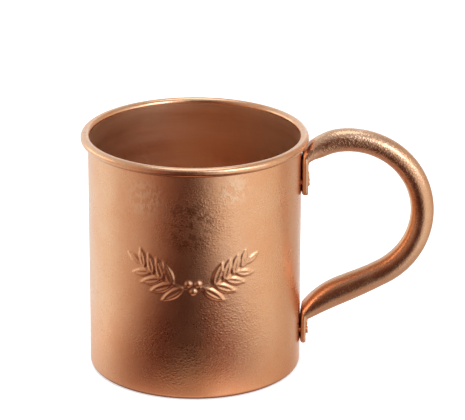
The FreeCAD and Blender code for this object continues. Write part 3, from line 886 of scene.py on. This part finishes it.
def make_world():
    """A studio as a surround of light: its round wall, a ceiling, the table further down and soft boxes."""
    world = bpy.data.worlds.new("studio")
    bpy.context.scene.world = world
    world.use_nodes = True
    tree = world.node_tree
    tree.nodes.clear()
    place = tree.nodes.new("ShaderNodeTexCoord").outputs["Generated"]
    axes = add_node(tree, "ShaderNodeSeparateXYZ", place)
    up = axes.outputs["Z"]

    front = add_node(tree, "ShaderNodeMath", axes.outputs["Y"], -1.0, operation="MULTIPLY").outputs[0]
    azimuth = add_node(tree, "ShaderNodeMath", axes.outputs["X"], front, operation="ARCTAN2").outputs[0]
    share = add_node(tree, "ShaderNodeMapRange", azimuth, -math.pi, math.pi, 0.0, 1.0).outputs[0]
    wall = add_node(tree, "ShaderNodeValToRGB", share, name="side_light")
    stops = wall.color_ramp.elements
    while len(stops) < len(SIDE_LIGHT):
        stops.new(0.5)
    for stop, (degrees, colour) in zip(stops, SIDE_LIGHT):
        stop.position = (degrees + 180) / 360
        stop.color = (*colour, 1)

    light = wall.outputs["Color"]
    for start, full, colour in ((CEILING_FROM, CEILING_FULL, CEILING), (TABLE_FROM, TABLE_FULL, TABLE_LIGHT)):
        share = soft_range(tree, up, math.sin(math.radians(start)), math.sin(math.radians(full)))
        light = mix(tree, "VECTOR", share, light, colour)
    for name, side, rise, full, end, colour in SOFT_BOXES:
        middle = direction(side, rise)
        towards = add_node(tree, "ShaderNodeVectorMath", place, middle, operation="DOT_PRODUCT")
        share = soft_range(tree, towards.outputs["Value"], math.cos(math.radians(end)),
                           math.cos(math.radians(full)))
        box = add_node(tree, "ShaderNodeVectorMath", colour, name=name, operation="SCALE")
        feed(tree, box.inputs["Scale"], share)
        total = add_node(tree, "ShaderNodeVectorMath", light, box.outputs["Vector"], operation="ADD")
        light = total.outputs["Vector"]
    background = add_node(tree, "ShaderNodeBackground", light)
    add_node(tree, "ShaderNodeOutputWorld", background.outputs["Background"])


FLOOR_COLUMNS = 96
# Rings of the flat floor; beyond the last one it sweeps up, between these turns in radians
FLOOR_RINGS = (0.02, 0.3, 1.0, 3.0)
SWEEP_RISE = 1.6
SWEEP_TURNS = (0.15, 1.45)
FLOOR_COLOUR = (0.60, 0.60, 0.60)
FLOOR_GLOW = 0.55
FLOOR_ROUGHNESS = 0.9
FLOOR_SPECULAR = 0.1


def floor_material():
    """Plain, pale and matt, glowing a little."""
    material = bpy.data.materials.new("pale_floor")
    material.use_nodes = True
    shader = material.node_tree.nodes["Principled BSDF"]
    shader.inputs["Base Color"].default_value = (*FLOOR_COLOUR, 1)
    shader.inputs["Roughness"].default_value = FLOOR_ROUGHNESS
    shader.inputs["Specular IOR Level"].default_value = FLOOR_SPECULAR
    shader.inputs["Emission Color"].default_value = (1, 1, 1, 1)
    shader.inputs["Emission Strength"].default_value = FLOOR_GLOW
    return material


def studio_piece(name, rings, columns, material):
    """A round surface of the studio from (radius, height) rings, which casts no shadow or bounced light."""
    turns = np.linspace(0, 2 * math.pi, columns, endpoint=False)
    vertices = [(r * math.cos(t), r * math.sin(t), z) for r, z in rings for t in turns]
    mesh = bpy.data.meshes.new(name)
    mesh.from_pydata(vertices, [], grid_faces(len(rings), columns) + [tuple(range(columns))])
    mesh.polygons.foreach_set("use_smooth", [True] * len(mesh.polygons))
    mesh.materials.append(material)
    piece = bpy.data.objects.new(name, mesh)
    bpy.context.scene.collection.objects.link(piece)
    piece.visible_shadow = False
    piece.visible_diffuse = False
    return piece


def make_floor():
    """A pale floor that sweeps up into a low round backdrop; the copper doesn't mirror it."""
    rings = [(radius, 0) for radius in FLOOR_RINGS]
    rings += [(FLOOR_RINGS[-1] + SWEEP_RISE * math.sin(t), SWEEP_RISE * (1 - math.cos(t)))
              for t in np.linspace(*SWEEP_TURNS, num=10)]
    floor = studio_piece("floor", rings, FLOOR_COLUMNS, floor_material())
    floor.visible_glossy = False


# The table as the copper sees it: a disc that only reflections meet. A soft dark patch lies on it in front
# of the cup, and beside the cup's foot it glows a little.
TABLE_RADIUS = 0.30
TABLE_DROP = 0.0002
TABLE_COLUMNS = 64
SHADE = {"middle": (-0.003, -0.106), "full": 0.045, "end": 0.137, "tint": (0.19, 0.042, 0.022)}
GLOW = {"middle": (0.001, -0.046), "full": 0.004, "end": 0.040, "colour": (0.36, 0.265, 0.205)}
# All round the foot the table is warmed by the copper above it
WARMTH = {"middle": (-0.025, -0.03), "full": 0.045, "end": 0.11, "tint": (1.0, 0.86, 0.79)}
# The shade thins out towards the cup, and the table is dark only right under the foot
ROUND_FOOT = {"middle": (0.010, 0), "full": 0.012, "end": 0.084}
UNDER_FOOT = {"middle": (0, 0), "full": 0.0398, "end": 0.0408, "tint": (0.45, 0.38, 0.42)}


def soft_patch(tree, place, patch, inside=1.0, outside=0.0):
    """A round patch of the table: one number in its middle, fading to another at its end."""
    middle = (*patch["middle"], -TABLE_DROP)
    away = add_node(tree, "ShaderNodeVectorMath", place, middle, operation="DISTANCE")
    return soft_range(tree, away.outputs["Value"], patch["full"], patch["end"], inside, outside)


def table_material():
    """Clear, but tinted by the shade, the warmth and the foot's dark line, and glowing a little."""
    material = bpy.data.materials.new("table_reflection")
    material.use_nodes = True
    tree = material.node_tree
    tree.nodes.clear()
    place = tree.nodes.new("ShaderNodeTexCoord").outputs["Object"]

    def combine(operation, first, second):
        return add_node(tree, "ShaderNodeMath", first, second, operation=operation, use_clamp=True).outputs[0]

    under = soft_patch(tree, place, UNDER_FOOT)
    warmth = soft_patch(tree, place, WARMTH)
    shade = combine("MULTIPLY", soft_patch(tree, place, SHADE), soft_patch(tree, place, ROUND_FOOT, 0.0, 1.0))
    clear = white = (1, 1, 1)
    for share, patch in ((shade, SHADE), (under, UNDER_FOOT), (warmth, WARMTH)):
        tint = mix(tree, "VECTOR", share, white, patch["tint"])
        clear = add_node(tree, "ShaderNodeVectorMath", clear, tint, operation="MULTIPLY").outputs["Vector"]
    strength = combine("SUBTRACT", soft_patch(tree, place, GLOW), under)
    glow = add_node(tree, "ShaderNodeEmission", (*GLOW["colour"], 1), strength)
    see_through = add_node(tree, "ShaderNodeBsdfTransparent", clear)
    both = add_node(tree, "ShaderNodeAddShader", see_through.outputs["BSDF"], glow.outputs["Emission"])
    add_node(tree, "ShaderNodeOutputMaterial", both.outputs["Shader"])
    return material


def make_table():
    """The disc that only reflections meet."""
    table = studio_piece("table", [(TABLE_RADIUS, -TABLE_DROP)], TABLE_COLUMNS, table_material())
    table.visible_camera = False


OVERHEAD_ELEVATION = 88
OVERHEAD_DISTANCE = 1.4
OVERHEAD_WIDTH = 1.6
OVERHEAD_POWER = 30.0
MUG_MIDDLE = Vector((0, 0, 0.045))


def make_overhead():
    """A square soft light aimed at the mug's middle, which the copper doesn't mirror."""
    lamp = bpy.data.lights.new("overhead", "AREA")
    lamp.size = OVERHEAD_WIDTH
    lamp.energy = OVERHEAD_POWER
    light = bpy.data.objects.new("overhead", lamp)
    towards = direction(0, OVERHEAD_ELEVATION)
    light.location = towards * OVERHEAD_DISTANCE + MUG_MIDDLE
    light.rotation_mode = "QUATERNION"
    light.rotation_quaternion = towards.to_track_quat("Z", "Y")
    light.visible_glossy = False
    bpy.context.scene.collection.objects.link(light)


def main():
    make_camera()
    make_world()
    make_floor()
    make_table()
    make_overhead()
    view = bpy.context.scene.view_settings
    view.view_transform = "Standard"
    view.look = "None"

    make_cup(cup_outside(), cup_inside(), rim_copper())
    make_handle(handle_copper())
    copper = rivet_copper()
    for end, tab in (("upper", UPPER_TAB), ("lower", LOWER_TAB)):
        for place, side in enumerate(("left", "right")):
            turn = tab["bottom"] + NEXT_TURN * place
            make_rivet("%s_rivet_%s" % (end, side), tab["front"], turn, copper)


main()
